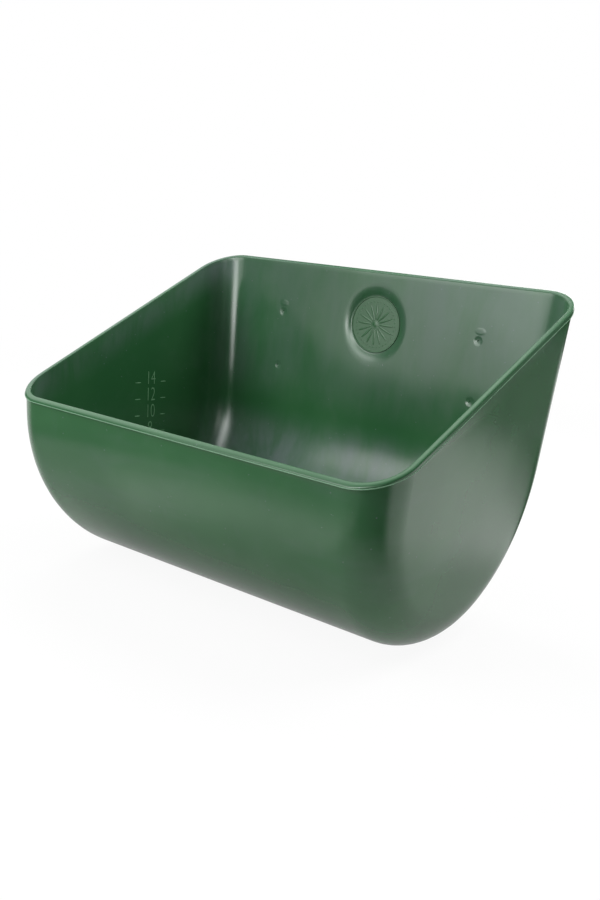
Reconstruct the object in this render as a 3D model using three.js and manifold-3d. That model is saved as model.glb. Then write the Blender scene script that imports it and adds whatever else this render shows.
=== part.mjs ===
// A wall-hung feed manger: a deep tub of semi-gloss green plastic, moulded in one piece, with a flat back
// that hangs on a wall, a half-round bottom, a beaded rim that slopes down to the front, and a round
// medallion let into a soft dish in the middle of its back wall.
//
// Millimetres. X runs along the wall, +Y points into the wall and +Z is up. The origin is the middle of
// the flat round boss behind the medallion, in the plane that lies on the wall.

import * as THREE from "three";
import { mergeVertices } from "three/addons/utils/BufferGeometryUtils.js";
import Module from "manifold-3d";

const { degToRad } = THREE.MathUtils;

// Tub, outside sizes
const TUB_WIDTH = 432; // across the side walls at the top of the back wall
const TUB_HEIGHT = 304; // from the top of the back wall down to the lowest line of the bottom
const RIM_LENGTH = 322.7; // from the back wall to the front wall, along the sloping rim
const RIM_SLOPE = degToRad(26.5);
const WALL = 3.4;
const CORNER_RADIUS = 35; // rolls round every corner where a side wall meets the trough
const SIDE_DRAFT = degToRad(3.88); // each side wall leans out by this much
const BACK_FLAT_HEIGHT = 155.5; // flat part of the back wall, above the round bottom
const BOTTOM_LINE_REACH = 143; // from the back wall to the lowest line
const FRONT_FLAT_HEIGHT = 16.4; // straight part of the front wall, under the rim
const FRONT_LEAN = degToRad(1.7);

// Bead round the rim
const BEAD_PROUD = 2.2; // stands out from the walls, and from the back wall to the wall plane
const BEAD_HEIGHT = 4.5; // square to the sloping rim

// Dish and pocket for the medallion, and the boss behind them
const MEDALLION_DROP = 53.9; // from the top of the back wall to the medallion's middle
const DISH_MOUTH_RADIUS = 42;
const DISH_RIM_LAND = 1.2; // flat ring round the medallion, at the bottom of the dish
const DISH_DEPTH = 2.4;
const BOSS_RADIUS = 45;

// Medallion, a separate coin pressed into the pocket
const MEDALLION_RADIUS = 29;
const MEDALLION_THICKNESS = 1.4;
const MEDALLION_RELIEF = 0.5; // height of the raised rings
const MEDALLION_RING_WIDTH = 1.3;
const MEDALLION_INNER_RING_SHARE = 0.62; // middle of the inner ring, as a share of the radius
const POCKET_CLEARANCE = 0.3;

// Four marks that show where to drill, each a soft dish with a pit, and a pad behind it
const MARK_SPACING_X = 237;
const MARK_SPACING_Z = 58.8;
const MARK_DROP = 84.4; // from the top of the back wall to the middle of the four
const MARK_DISH_RADIUS = 7.6;
const MARK_DISH_DEPTH = 0.9;
const PIT_RADIUS = 1.3;
const PIT_DEPTH = 1.6;
const PAD_RADIUS = 9.5;

// Fineness of the curves
const CURVE_STEPS = 22;
const CORNER_STEPS = 7;
const DISH_STEPS = 6;
const LARGE_ROUND_SIDES = 72;
const SMALL_ROUND_SIDES = 28;
const CIRCLE_HANDLE_SHARE = 0.5523; // handle length that turns a square corner into a near quarter circle

// Helpers for cutting
const OVERRUN = 60; // how far a cutting block or the closed top runs past what it cuts

const wasm = await Module();
wasm.setup();

// A closed geometry as a solid that can be joined and cut
function solid(geometry) {
  geometry.deleteAttribute("normal");
  geometry.deleteAttribute("uv");
  const merged = mergeVertices(geometry);
  return new wasm.Manifold(new wasm.Mesh({
    numProp: 3,
    vertProperties: Float32Array.from(merged.attributes.position.array),
    triVerts: Uint32Array.from(merged.index.array),
  }));
}

// A cut solid as a geometry
function geometryOf(cut) {
  const mesh = cut.getMesh();
  const geometry = new THREE.BufferGeometry();
  geometry.setAttribute("position", new THREE.BufferAttribute(Float32Array.from(mesh.vertProperties), mesh.numProp));
  geometry.setIndex(Array.from(mesh.triVerts));
  geometry.computeVertexNormals();
  return geometry;
}

// A round solid about the Y axis, from [radius, y] points that climb in y from the axis back to the axis
function turned(points, sides) {
  return new THREE.LatheGeometry(points.map(([radius, y]) => new THREE.Vector2(radius, y)), sides);
}

function placed(geometry, x, y, z) {
  return geometry.translate(x, y, z);
}

// The tub is drawn with the outside of its back wall at y = 0 and the top of that wall at z = 0.
// Seen along X, its side is drawn with y to the left of the wall negative and z up.

const rimFront = new THREE.Vector2(-RIM_LENGTH * Math.cos(RIM_SLOPE), -RIM_LENGTH * Math.sin(RIM_SLOPE));

// Curves from one straight run to another like a stretched quarter circle
function roundTo(shape, from, corner, to) {
  const near = from.clone().lerp(corner, CIRCLE_HANDLE_SHARE);
  const far = to.clone().lerp(corner, CIRCLE_HANDLE_SHARE);
  shape.bezierCurveTo(near.x, near.y, far.x, far.y, to.x, to.y);
}

// The tub's side outline, outside, closed above the rim by a ridge that the rim's slope cuts away
function sideShape() {
  const leanAt = (z) => rimFront.x - (z - rimFront.y) * Math.tan(FRONT_LEAN);
  const backEnd = new THREE.Vector2(0, -BACK_FLAT_HEIGHT);
  const lowest = new THREE.Vector2(-BOTTOM_LINE_REACH, -TUB_HEIGHT);
  const frontEnd = new THREE.Vector2(leanAt(rimFront.y - FRONT_FLAT_HEIGHT), rimFront.y - FRONT_FLAT_HEIGHT);
  const frontCorner = new THREE.Vector2(leanAt(lowest.y), lowest.y);
  const shape = new THREE.Shape();
  shape.moveTo(0, OVERRUN);
  shape.lineTo(rimFront.x / 2, OVERRUN + CORNER_RADIUS);
  shape.lineTo(leanAt(OVERRUN), OVERRUN);
  shape.lineTo(frontEnd.x, frontEnd.y);
  roundTo(shape, frontEnd, frontCorner, lowest);
  roundTo(shape, lowest, new THREE.Vector2(backEnd.x, lowest.y), backEnd);
  shape.lineTo(0, OVERRUN);
  return shape;
}

// The full trough, its surface moved inward by inset, with its corners rolled and its sides drafted
function trough(inset) {
  const coreWidth = TUB_WIDTH - 2 * CORNER_RADIUS;
  const geometry = new THREE.ExtrudeGeometry(sideShape(), {
    depth: coreWidth,
    bevelThickness: CORNER_RADIUS - inset,
    bevelSize: CORNER_RADIUS - inset,
    bevelOffset: -CORNER_RADIUS,
    bevelSegments: CORNER_STEPS,
    curveSegments: CURVE_STEPS,
  });
  const points = geometry.attributes.position;
  for (let i = 0; i < points.count; i += 1) {
    const along = points.getZ(i) - coreWidth / 2;
    const y = points.getX(i);
    const z = points.getY(i);
    points.setXYZ(i, along + Math.sign(along) * z * Math.tan(SIDE_DRAFT), y, z);
  }
  return solid(geometry);
}

// A block whose top face lies below the sloping rim by drop, and which reaches down past the tub
function blockUnderRim(drop) {
  const reach = 2 * (TUB_WIDTH + TUB_HEIGHT);
  const block = new THREE.BoxGeometry(reach, reach, reach);
  placed(block, 0, 0, -reach / 2 - drop);
  block.rotateX(RIM_SLOPE);
  return solid(block);
}

// Cutter for a soft dish in the inner face of the back wall, with a flat floor at +Y
function dishCutter(floorRadius, mouthRadius, depth, sides) {
  const points = [[0, -WALL], [mouthRadius, -WALL]];
  for (let step = DISH_STEPS; step >= 0; step -= 1) {
    const share = step / DISH_STEPS;
    const radius = floorRadius + (mouthRadius - floorRadius) * share;
    if (radius > 0) points.push([radius, depth * (1 + Math.cos(Math.PI * share)) / 2]);
  }
  points.push([0, depth]);
  return turned(points, sides);
}

function roundBlock(radius, from, to, sides) {
  const block = new THREE.CylinderGeometry(radius, radius, to - from, sides);
  return placed(block, 0, (from + to) / 2, 0);
}

const innerFace = -WALL;
const wallPlane = BEAD_PROUD;
const dishFloor = innerFace + DISH_DEPTH;
const pocketFloor = dishFloor + MEDALLION_THICKNESS;

function markPlaces() {
  const places = [];
  for (const sideX of [-1, 1]) {
    for (const sideZ of [-1, 1]) {
      places.push([sideX * MARK_SPACING_X / 2, sideZ * MARK_SPACING_Z / 2 - MARK_DROP]);
    }
  }
  return places;
}

function tubGeometry() {
  const inside = trough(WALL);
  const belowRim = blockUnderRim(0);
  const bead = trough(-BEAD_PROUD).subtract(blockUnderRim(BEAD_HEIGHT));
  const boss = placed(roundBlock(BOSS_RADIUS, innerFace / 2, wallPlane, LARGE_ROUND_SIDES), 0, 0, -MEDALLION_DROP);
  let tub = trough(0).add(bead).add(solid(boss));
  for (const [x, z] of markPlaces()) {
    tub = tub.add(solid(placed(roundBlock(PAD_RADIUS, innerFace / 2, wallPlane, SMALL_ROUND_SIDES), x, 0, z)));
  }
  tub = tub.subtract(inside).intersect(belowRim);

  const dishFloorRadius = MEDALLION_RADIUS + POCKET_CLEARANCE + DISH_RIM_LAND;
  const dish = dishCutter(dishFloorRadius, DISH_MOUTH_RADIUS, DISH_DEPTH, LARGE_ROUND_SIDES);
  const pocket = roundBlock(MEDALLION_RADIUS + POCKET_CLEARANCE, innerFace, pocketFloor, LARGE_ROUND_SIDES);
  tub = tub.subtract(solid(placed(dish, 0, innerFace, -MEDALLION_DROP)));
  tub = tub.subtract(solid(placed(pocket, 0, 0, -MEDALLION_DROP)));
  for (const [x, z] of markPlaces()) {
    const markDish = dishCutter(0, MARK_DISH_RADIUS, MARK_DISH_DEPTH, SMALL_ROUND_SIDES);
    const pit = roundBlock(PIT_RADIUS, innerFace, innerFace + MARK_DISH_DEPTH + PIT_DEPTH, SMALL_ROUND_SIDES);
    tub = tub.subtract(solid(placed(markDish, x, innerFace, z))).subtract(solid(placed(pit, x, 0, z)));
  }
  return geometryOf(tub);
}

// The coin: plain but for a raised rim, an inner ring and a low round middle
function medallionGeometry() {
  const face = -MEDALLION_THICKNESS;
  const raised = face - MEDALLION_RELIEF;
  const ringMiddle = MEDALLION_RADIUS * MEDALLION_INNER_RING_SHARE;
  const ringInside = ringMiddle - MEDALLION_RING_WIDTH / 2;
  const ringOutside = ringMiddle + MEDALLION_RING_WIDTH / 2;
  const rimInside = MEDALLION_RADIUS - MEDALLION_RING_WIDTH;
  return turned([
    [0, face],
    [ringInside, face],
    [ringInside, raised],
    [ringOutside, raised],
    [ringOutside, face],
    [rimInside, face],
    [rimInside, raised],
    [MEDALLION_RADIUS, raised],
    [MEDALLION_RADIUS, 0],
    [0, 0],
  ], LARGE_ROUND_SIDES);
}

const tubPlastic = new THREE.MeshStandardMaterial({ color: 0x2b5a36, roughness: 0.38, metalness: 0 });
const medallionPlastic = new THREE.MeshStandardMaterial({ color: 0x31623f, roughness: 0.34, metalness: 0 });

const manger = new THREE.Group();

const tub = new THREE.Mesh(tubGeometry(), tubPlastic);
tub.name = "manger_tub";
tub.position.set(0, -wallPlane, MEDALLION_DROP);
manger.add(tub);

const medallion = new THREE.Mesh(medallionGeometry(), medallionPlastic);
medallion.name = "medallion_disc";
medallion.position.set(0, pocketFloor - wallPlane, 0);
manger.add(medallion);

export default manger;
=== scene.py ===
"""The finished look of a wall-hung feed manger of green plastic, built round its solid model.

Everything is in metres. X runs along the wall, +Y points into the wall and +Z is up. The tub's surface and
the medallion are meshes made from formulas. Node trees grow the rim's flash, the litre ticks, the dots and
the petals, and the litre numbers are text.
"""

import math
from typing import NamedTuple

import bmesh
import bpy
import numpy as np
from bpy.props import FloatProperty, FloatVectorProperty, IntProperty, PointerProperty
from mathutils import Matrix, Vector


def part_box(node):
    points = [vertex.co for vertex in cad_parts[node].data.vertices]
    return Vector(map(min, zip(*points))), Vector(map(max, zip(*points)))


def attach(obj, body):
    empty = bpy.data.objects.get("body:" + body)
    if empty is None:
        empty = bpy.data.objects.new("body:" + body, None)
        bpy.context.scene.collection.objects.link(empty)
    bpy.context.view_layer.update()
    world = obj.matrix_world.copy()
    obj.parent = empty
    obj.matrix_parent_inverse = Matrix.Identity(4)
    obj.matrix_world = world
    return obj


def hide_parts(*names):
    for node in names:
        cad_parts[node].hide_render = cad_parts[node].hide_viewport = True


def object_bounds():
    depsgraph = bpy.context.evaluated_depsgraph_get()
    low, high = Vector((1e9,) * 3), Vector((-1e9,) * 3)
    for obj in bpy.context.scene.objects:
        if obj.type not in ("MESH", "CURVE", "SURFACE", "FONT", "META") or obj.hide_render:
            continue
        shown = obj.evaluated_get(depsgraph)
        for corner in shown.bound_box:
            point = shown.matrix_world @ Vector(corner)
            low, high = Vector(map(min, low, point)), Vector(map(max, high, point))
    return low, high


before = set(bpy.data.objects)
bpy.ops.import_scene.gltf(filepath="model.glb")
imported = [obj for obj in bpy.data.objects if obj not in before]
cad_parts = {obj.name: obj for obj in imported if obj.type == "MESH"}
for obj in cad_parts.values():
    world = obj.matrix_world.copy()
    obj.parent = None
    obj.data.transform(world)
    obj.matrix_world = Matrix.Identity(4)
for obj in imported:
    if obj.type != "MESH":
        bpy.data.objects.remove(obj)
CAD_LOW, CAD_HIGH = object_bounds()

bl_info = {
    "name": "Feed manger",
    "version": (1, 0, 0),
    "blender": (4, 5, 0),
    "location": "3D View > Sidebar > Manger",
    "description": "Builds the finished look of a wall-hung feed manger",
    "category": "Object",
}

MM = 0.001
TUB_NODE = "manger_tub"
DISC_NODE = "medallion_disc"
BODY = "root"

# Fineness of the tub's mesh, in cells. Round rings take the place of a square of cells for each dish.
DISH_CELLS = 24  # across the medallion's square
MARK_CELLS = 10  # across a mark's square
GAP_CELLS = 14  # from the medallion's square to a mark's
EDGE_CELLS = 9  # from a mark's square to the rolled corner
CORNER_CELLS = 12  # round each corner
ROW_CELLS = 7  # down each part of the back wall above, between and below the marks' squares
CURVE_CELLS = 40  # along each half of the round bottom
FRONT_CELLS = 4  # up the straight part of the front wall
WALL_LAYERS = 12  # from the round bottom to the rim, on each side wall
ROUND_CELLS = 4  # round a small fillet or a small round
OUTER_ROUND_CELLS = 6  # round the bead's outer edge
DISH_RINGS = 12  # down the slope of a dish
ROUND_SIDES = 96  # round the medallion
SMOOTH_ANGLE = math.radians(32)

# A cubic curve whose handles have this share of their full length is nearly a quarter circle
CIRCLE_HANDLE_SHARE = 0.5523

# Small rounds and edges of the tub and the medallion
BEAD_FILLET = 0.9 * MM
BEAD_EDGE = 0.15 * MM  # along the bead's lower edge
BEAD_OUTER_ROUND = 1.5 * MM
BEAD_INNER_ROUND = 0.9 * MM
BOSS_ROUND = 0.9 * MM  # at the foot and the edge of the boss and the pads, at most
SQUARE_MARGIN = 2 * MM  # from a boss or a pad to the edge of its square
DISH_LAND = 0.5 * MM  # flat ring between the pocket and the slope of the dish
POCKET_EDGE = 0.2 * MM
DISH_STEEPENING = 2.5  # power of the slope of the dish
PIT_EDGE = 0.25 * MM
PIT_ROUND = 0.3 * MM
PIT_SHARES = (1.25, 0.9, 0.5)  # land round a pit, its foot and its floor, as shares of its radius
MEDALLION_EDGE = 0.25 * MM
FACE_SHARES = (0.92, 0.6, 0.2)  # rings of the medallion's flat face, as shares of its radius
HUB_SHARE = 0.07  # radius of its hub, as a share of its own
HUB_STEP_SHARES = ((1.5, 0), (1, 0.6), (0.5, 1))  # up the hub, of its radius and of the edge's height

# How much wear the rim's points show: up the bead's fillet from the wall, and down its inner round
FILLET_RUB_SHARES = (0.2, 0.2, 0.3, 0.5, 0.8)
INNER_RUB_SHARES = (1, 0.85, 0.7, 0.55, 0.4)

# Flash on the bead
FLASH_STEP = 0.9 * MM  # between its points
FLASH_SHARES = (0.40, 0.12, 0.55)  # plain line, raggedness and burrs, of its greatest thickness
FRONT_REACH = (12 * MM, 6 * MM)  # behind the front of the rim, where burrs start and are full

# Stretches of burrs, as X of their start, of their full strength from and to, and of their end
BURRS = ((-41 * MM, -37 * MM, 12 * MM, 18 * MM), (171 * MM, 175 * MM, 184 * MM, 188 * MM))

# Litre numbers
FONT_SHARE = 0.70  # height of a number, as a share of the size of its letters
NUMBER_LIFT = 0.27  # middle of a number above its mark, as a share of its height
NUMBER_BEVEL = 0.06 * MM
NUMBER_THINNING = 0.36 * MM

# How much each kind of wear, the painted sheen inside, and the flash's pale tint and painted highlight
# lighten the plastic, from 0 to 1
# The left haze is dust; the haze high on the right and on the back wall is dust and painted sheen; the haze
# low down is painted sheen.
LEFT_HAZE = 0.24
RIGHT_HAZE_AND_SHEEN = 0.07
BACK_HAZE_AND_SHEEN = 0.15
LOW_SHEEN = 0.40
SMEARS = 0.05
MOTTLE = 0.03
RIM_RUB = 0.04
SCRATCHES = 0.4
SPECKS = 0.25
# The flash's paleness is partly stress whitening and partly a painted highlight.
FLASH_TINT_AND_HIGHLIGHT = 0.85

# Depth of the slow waves in the plastic's surface
WAVE_DEPTH = 0.8 * MM

# Scratches: the turn of their direction, how many there are, and the shift of their noise
SCRATCH_WAYS = (
    ((0.2, 0.5, 0.1), 0.36, 0.0),
    ((1.1, -0.4, 0.6), 0.34, 3.1),
    ((0.6, 1.2, 0.0), 0.32, 7.7),
)

# Middles, as (x, z), of the two shallow dents in the back wall, and half their width and height
DENTS = ((-118 * MM, 8.5 * MM), (119.5 * MM, 8.5 * MM))
DENT_HALF = (6.5 * MM, 4 * MM)

# Camera, solved from the photograph; lengths in pixels are in its 600 by 900 frame
PHOTO_HEIGHT_PX = 900
CAMERA_FOCAL_PX = 963.6
CAMERA_SENSOR = 36.0
CAMERA_PLACE = Vector((0.53186, -0.84565, 0.06747))
CAMERA_AZIMUTH = math.radians(35.91)
CAMERA_ELEVATION = math.radians(11.73)
CAMERA_ROLL = math.radians(6.02)

# Stage. Azimuths and elevations are in degrees round its middle, and a brightness of 1 is white.
STAGE_CENTRE = Vector((0, -0.145, -0.13))
WHITE = (1, 1, 1, 1)
FLOOR_COLOUR = (0.6, 0.6, 0.6, 1)
FLOOR_HALF = 60.0
FLOOR_DROP = 0.2 * MM  # under the manger
NEAR_WHITE = 0.93  # share of plain white on the floor near the manger, which leaves room for its shadow
NEAR_REACH = (0.6, 1.8)  # radii over which the floor turns plain white
AMBIENT = 0.14

# Square softboxes: name, azimuth, elevation, distance, width and brightness
SOFTBOXES = (
    ("key_softbox", 238, 34, 1.7, 1.0, 9.2),
    ("side_softbox", 58, 38, 1.7, 1.0, 5.5),
    ("top_softbox", 46, 62, 1.7, 1.0, 7.0),
    ("front_top_softbox", 252, 68, 1.7, 1.0, 3.2),
    ("left_softbox", 150, 42, 1.8, 0.8, 11.0),
)

# The room round the stage, seen in gloss only: the corners of its section above the floor, as (radius,
# height), the first being the middle of the table, and the cells between each two
ROOM_CORNERS = ((0.02, None), (2.4, None), (2.4, 1.2), (1.4, 2.1), (0.05, 2.4))
ROOM_CELLS = (90, 40, 16, 12)
ROOM_TURNS = 144

# Lit parts of the room's table: azimuths from and to, radii from and to, and added brightness
TABLE_RISE = 1 * MM  # over the manger's lowest line
TABLE_GLOW = 0.08
TABLE_EDGES = (14, 0.14)  # how far a part fades at its ends, in degrees and metres
TABLE_PARTS = (
    (0, 360, -1, 0.20, 0.38),  # under the manger
    (0, 360, 0.20, 0.36, 0.65),  # close round it
    (228, 290, 0.20, 0.36, 0.50),  # close in front
    (345, 415, 0.36, 0.95, 1.25),  # on the right
    (345, 432, 0.95, 2.4, 0.14),  # far on the right
    (200, 300, 0.36, 0.52, 0.60),  # in front
    (200, 300, 0.52, 1.2, 0.15),  # further in front
    (228, 276, 1.2, 3, 2.0),  # far in front
    (75, 200, 0.36, 3, 0.8),  # behind and on the left
)

# Lit parts of its walls and ceiling: azimuths from and to, elevations from and to, and added brightness
WALL_GLOW = 0.05
WALL_EDGES = (16, 8)  # how far a part fades at its ends, in degrees
WALL_PARTS = (
    (232, 276, -9, 24, 2.4),  # broad panel in front
    (232, 276, 9, 24, 2.8),  # its upper half
    (254, 271, -1.5, 7, 10.0),  # bright strip, seen in the left back corner
    (264, 292, 14, 38, 5.5),  # panel high in front
    (235, 276, 24, 48, 1.5),  # and beside it
    (120, 172, -9, 25, 1.3),  # behind on the left
    (147, 232, 25, 60, 1.2),  # high on the left
    (118, 147, 50, 62, 2.0),  # high behind on the left, seen in the back rim
    (72, 120, 12, 42, 7.0),  # window behind
    (298, 318, 11, 23, 2.2),  # beside the camera, seen in the round bottom
    (0, 360, 60, 99, 0.6),  # ceiling
)


# Properties


def distance(name, description, default):
    return FloatProperty(
        name=name, description=description, default=default, precision=5, subtype="DISTANCE", unit="LENGTH"
    )


def angle(name, description, degrees):
    return FloatProperty(
        name=name, description=description, default=math.radians(degrees), subtype="ANGLE", unit="ROTATION"
    )


def fraction(name, description, default):
    return FloatProperty(
        name=name, description=description, default=default, subtype="FACTOR", min=0, max=1
    )


def number_of(name, description, default, least=1):
    return IntProperty(name=name, description=description, default=default, min=least)


def colour(name, description, default):
    return FloatVectorProperty(
        name=name, description=description, default=default, subtype="COLOR", min=0, max=1
    )


class MangerTubSizes(bpy.types.PropertyGroup):
    width: distance("Width", "Across the side walls at the top of the back wall", 433.2 * MM)
    height: distance("Height", "From the top of the back wall down to the lowest line", 304.3 * MM)
    rim_length: distance("Rim length", "From the back wall to the front wall along the rim", 324.04 * MM)
    rim_slope: angle("Rim slope", "Fall of the rim towards the front", 26.5)
    wall: distance("Wall", "Thickness of the walls", 4.0 * MM)
    corner_radius: distance("Corner radius", "Round each corner with a side wall, outside", 35.6 * MM)
    side_draft: angle("Side draft", "Lean of each side wall", 3.88)
    back_flat: distance("Back flat", "Height of the flat part of the back wall", 155.8 * MM)
    bottom_reach: distance("Bottom reach", "From the back wall to the lowest line", 143.6 * MM)
    front_flat: distance("Front flat", "Height of the straight part of the front wall", 16.4 * MM)
    front_lean: angle("Front lean", "Lean of the front wall", 1.7)
    bead_proud: distance("Bead, proud", "From the walls out to the edge of the bead's flash", 1.6 * MM)
    flash_proud: distance("Flash, proud", "From the bead out to the edge of its flash, at most", 0.4 * MM)
    bead_height: distance("Bead height", "Height of the rim bead at the back and sides", 4.5 * MM)
    front_bead_height: distance("Front bead height", "Height of the rim bead at the front", 2.1 * MM)


class MangerDishSizes(bpy.types.PropertyGroup):
    dish_radius: distance("Dish radius", "Mouth of the soft dish round the medallion", 45 * MM)
    dish_depth: distance("Dish depth", "Depth of the dish round the medallion", 2.4 * MM)
    dish_narrowing: fraction("Dish narrowing", "How much narrower than high the dish is", 0.22)
    pocket_clearance: distance("Pocket clearance", "Round the edge of the medallion", 0.3 * MM)
    boss_radius: distance("Boss radius", "Flat round boss behind the medallion", 45 * MM)
    mark_spacing_x: distance("Mark spacing, across", "Between the marks of one row", 237 * MM)
    mark_spacing_z: distance("Mark spacing, up", "Between the two rows of marks", 58.8 * MM)
    mark_drop: distance("Mark drop", "From the top of the back wall to the middle of the marks", 84.4 * MM)
    mark_radius: distance("Mark radius", "Mouth of each mark's dish", 5.4 * MM)
    mark_depth: distance("Mark depth", "Depth of each mark's dish", 0.5 * MM)
    pit_radius: distance("Pit radius", "Pit in the middle of a mark", 1.1 * MM)
    pit_depth: distance("Pit depth", "Depth of the pit under its dish", 0.6 * MM)
    pad_radius: distance("Pad radius", "Pad behind each mark", 9.5 * MM)


class MangerMedallionSizes(bpy.types.PropertyGroup):
    relief: distance("Relief", "Height of the raised ring", 0.5 * MM)
    ring_width: distance("Ring width", "Width of the raised ring at the edge", 1.0 * MM)
    petals: number_of("Petals", "Petals of the rosette", 16, least=3)
    dots: number_of("Dots", "Dots between the raised ring and the rosette", 36, least=3)
    dot_radius: distance("Dot radius", "Radius of each dot", 0.8 * MM)


class MangerScaleSizes(bpy.types.PropertyGroup):
    digit_height: distance("Digit height", "Height of the numbers of the litre scale", 14.5 * MM)
    digit_relief: distance("Digit relief", "How far the numbers stand out", 0.09 * MM)
    digit_narrowing: fraction("Digit narrowing", "Width of the numbers against plain lettering", 0.70)
    tick_length: distance("Tick length", "Length of the litre ticks", 8.2 * MM)
    tick_width: distance("Tick width", "Width of the litre ticks", 1.1 * MM)
    column: distance("Column", "Middle of the numbers, before the back wall", 115 * MM)
    tick_offset: distance("Tick offset", "From the middle of the numbers to the ticks", 18.6 * MM)
    top_litres: number_of("Top mark", "Highest mark of the scale, in litres", 14)
    litre_step: number_of("Step", "Litres between two marks", 2)


class MangerLooks(bpy.types.PropertyGroup):
    green: colour("Green", "Colour of the plastic", (0.026, 0.098, 0.036))
    deep_green: colour("Deep green", "Darker colour of the plastic", (0.018, 0.080, 0.028))
    # This pale colour serves both the bloom of handling and dust and the painted sheen inside.
    bloom: colour("Bloom", "Pale bloom of handling and dust", (0.20, 0.18, 0.25))
    # The flash's paler green is partly stress whitening and partly a painted highlight along the bead's
    # lower edge.
    flash_green: colour("Flash", "Pale green of the thin flash on the rim", (0.15, 0.29, 0.18))
    roughness: fraction("Roughness", "Of the clean plastic", 0.17)


# Meshes


def spread(low, high, cells, closed=False):
    """Evenly spaced places from low up to high, which is left out unless the row is closed."""
    places = [low + (high - low) * i / cells for i in range(cells)]
    return [*places, high] if closed else places


def graded(edges, cells):
    """Places from the first edge up to, but not with, the last, with so many cells between each two."""
    runs = zip(edges, edges[1:], cells)
    return [place for low, high, count in runs for place in spread(low, high, count)]


def quarter_round(cells):
    """Steps round a quarter of a circle as (rise, fall): rise goes from 0 to 1, and fall from 1 to 0."""
    turns = [math.pi / 2 * share for share in spread(0, 1, cells, closed=True)]
    return [(1 - math.cos(turn), 1 - math.sin(turn)) for turn in turns]


def blend(vectors, weights):
    return sum((vector * weight for vector, weight in zip(vectors, weights)), Vector((0, 0)))


def soft_slope(floor_radius, mouth_radius, depth, steepening=False):
    """Rings of a soft dish, as (radius, depth), from its mouth to its floor. It levels out or steepens."""
    rings = []
    for share in spread(0, 1, DISH_RINGS, closed=True):
        fall = share**DISH_STEEPENING if steepening else (1 - math.cos(math.pi * share)) / 2
        rings.append((mouth_radius + (floor_radius - mouth_radius) * share, depth * fall))
    return rings


def placed(name, data):
    """A new object in the scene, at the origin."""
    made = bpy.data.objects.new(name, data)
    bpy.context.scene.collection.objects.link(made)
    return made


def plain_mesh(name, points, edges=(), faces=()):
    mesh = bpy.data.meshes.new(name)
    mesh.from_pydata(points, edges, faces)
    return mesh


def closed_line(name, points):
    return plain_mesh(name, points, [(i, (i + 1) % len(points)) for i in range(len(points))])


def paint(mesh, mask, values):
    """Puts a number on each point of a mesh, for a material to read."""
    layer = mesh.attributes.new(mask, "FLOAT", "POINT")
    layer.data.foreach_set("value", np.array(values, np.float32))


def finished(mesh):
    """Merges doubles, turns a closed mesh's faces outward and shades all but its sharp edges smooth."""
    shape = bmesh.new()
    shape.from_mesh(mesh)
    bmesh.ops.remove_doubles(shape, verts=shape.verts, dist=MM / 200)
    bmesh.ops.recalc_face_normals(shape, faces=shape.faces)
    shape.to_mesh(mesh)
    shape.free()
    mesh.shade_smooth()
    mesh.set_sharp_from_angle(angle=SMOOTH_ANGLE)
    return mesh


def final_mesh(holder):
    """The evaluated mesh of an object, which is removed with its modifiers."""
    depsgraph = bpy.context.evaluated_depsgraph_get()
    mesh = bpy.data.meshes.new_from_object(holder.evaluated_get(depsgraph), depsgraph=depsgraph)
    holder.modifiers.clear()
    bpy.data.objects.remove(holder)
    return mesh


def piece(name, mesh, material=None):
    """Makes an object of a finished mesh that rides on the manger and takes its finish from slot."""
    made = placed(name, mesh)
    if material:
        mesh.materials.append(material)
    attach(made, BODY)
    return made


class Station(NamedTuple):
    """A place across the tub. Share 0 keeps X at place, and share 1 puts it on the line of its side."""

    side: int
    turn: float
    place: float
    share: float


class Square(NamedTuple):
    """A part of the back wall's grid that round rings replace."""

    x: float
    z: float
    half: float

    def holds(self, across, up):
        """Whether a place is in the square or, in spite of rounding, on its edge."""
        half = self.half * 1.001
        return abs(across - self.x) < half and abs(up - self.z) < half


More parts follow.
